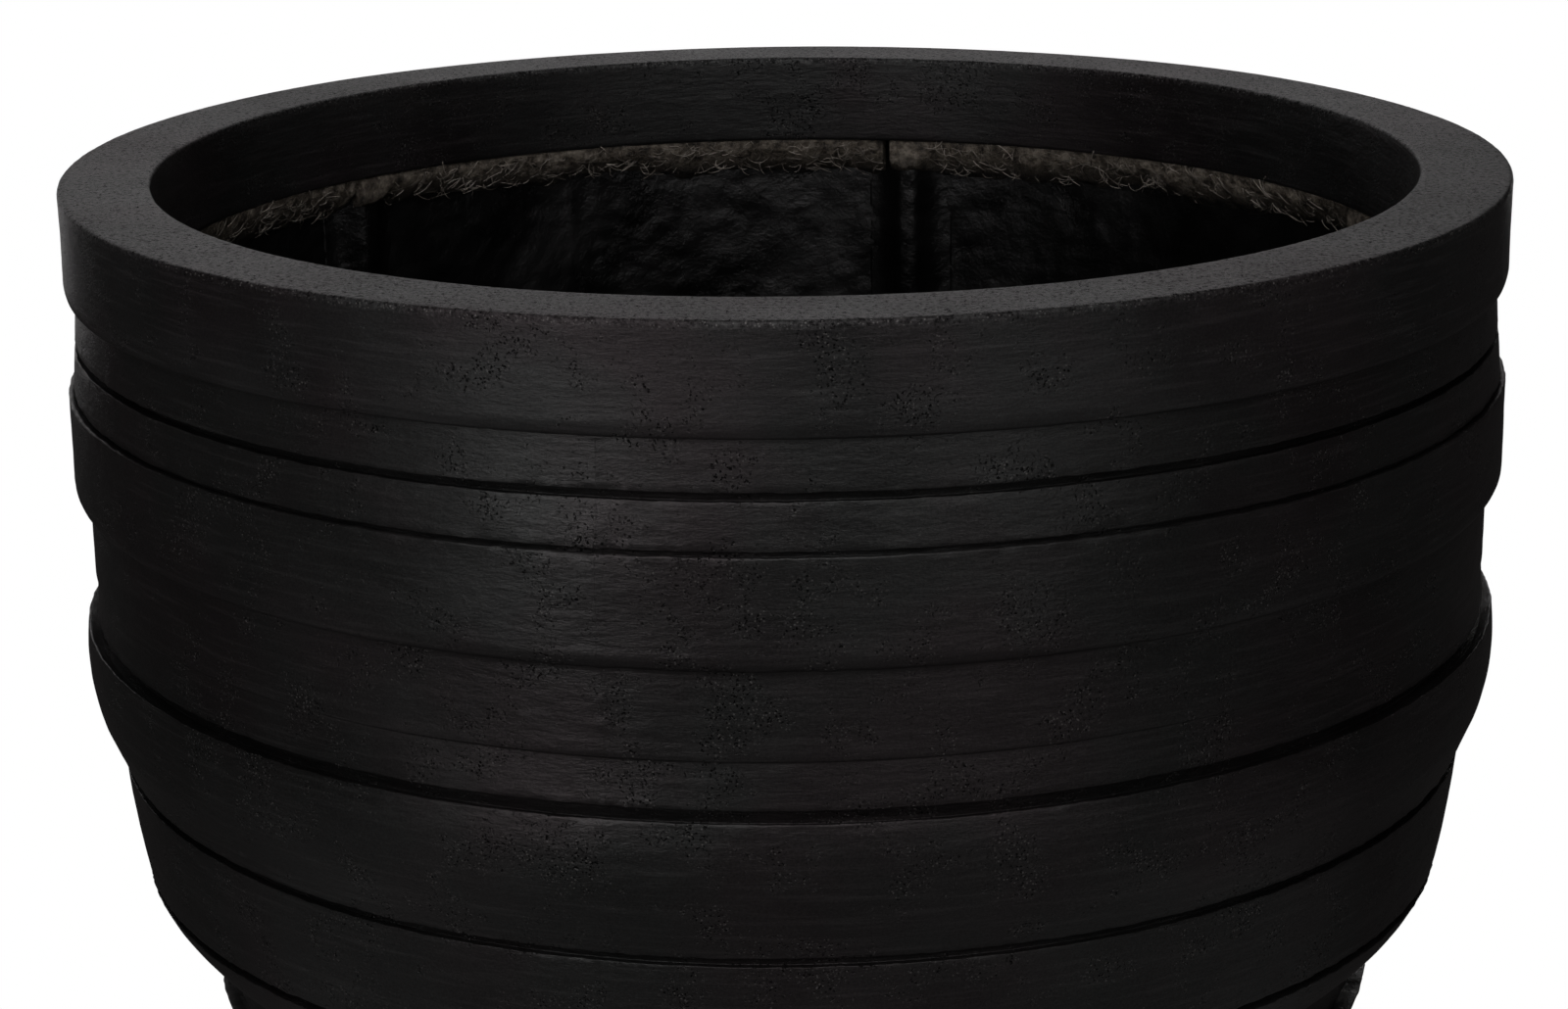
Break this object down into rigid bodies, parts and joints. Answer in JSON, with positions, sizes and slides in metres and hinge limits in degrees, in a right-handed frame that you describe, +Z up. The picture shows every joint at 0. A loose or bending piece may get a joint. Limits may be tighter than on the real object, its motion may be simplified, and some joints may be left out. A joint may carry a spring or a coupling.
{
  "type": "banded garden tub",
  "caption": "Large round banded tub of black cement composite over ribbed glass fibre, with a thick flat rim, a plinth ring and a removable drain bung.",
  "frame": {"origin": "middle of the foot ring's underside, on the surface that the tub stands on", "axes": "+Z up along the tub's axis; -Y towards the side seen in front, with the front seam 12 degrees to its left"},
  "size_m": [0.9922, 0.9922, 0.7],
  "materials": {
    "facing": "matte black cement composite, fine pits",
    "rim": "matte black cement composite, rubbed smooth on top",
    "laminate": "glossy wrinkled black glass-fibre laminate",
    "strand": "raw brown chopped strand in resin",
    "foam": "rigid foam, sealed in",
    "bush": "moulded dark grey plastic",
    "rubber": "moulded black rubber",
    "steel": "stainless wire, brushed"
  },
  "bodies": {
    "tub": {"facing_half_left": "facing", "facing_half_right": "facing", "laminate_half_left": "laminate", "laminate_half_right": "laminate", "rim_ring": "rim", "rim_core": "foam", "rib_1": "laminate", "rib_2": "laminate", "rib_3": "laminate", "rib_4": "laminate", "rib_5": "laminate", "rib_6": "laminate", "rib_core_1": "foam", "rib_core_2": "foam", "rib_core_3": "foam", "rib_core_4": "foam", "rib_core_5": "foam", "rib_core_6": "foam", "rim_fillet_1": "strand", "rim_fillet_2": "strand", "rim_fillet_3": "strand", "rim_fillet_4": "strand", "rim_fillet_5": "strand", "rim_fillet_6": "strand", "base_disc": "laminate", "foot_ring": "facing", "drain_bush": "bush"},
    "bung": {"drain_bung": "rubber"},
    "pull_ring": {"bung_pull_ring": "steel"}
  },
  "joints": [
    {"name": "bung_lift", "type": "slide", "parent": "tub", "child": "bung", "axis": [0, 0, 1], "range_m": [0, 0.72]},
    {"name": "ring_swing", "type": "hinge", "parent": "bung", "child": "pull_ring", "pos_m": [0, 0, 0.0809], "axis": [0, -1, 0], "range_deg": [0, 214]}
  ]
}
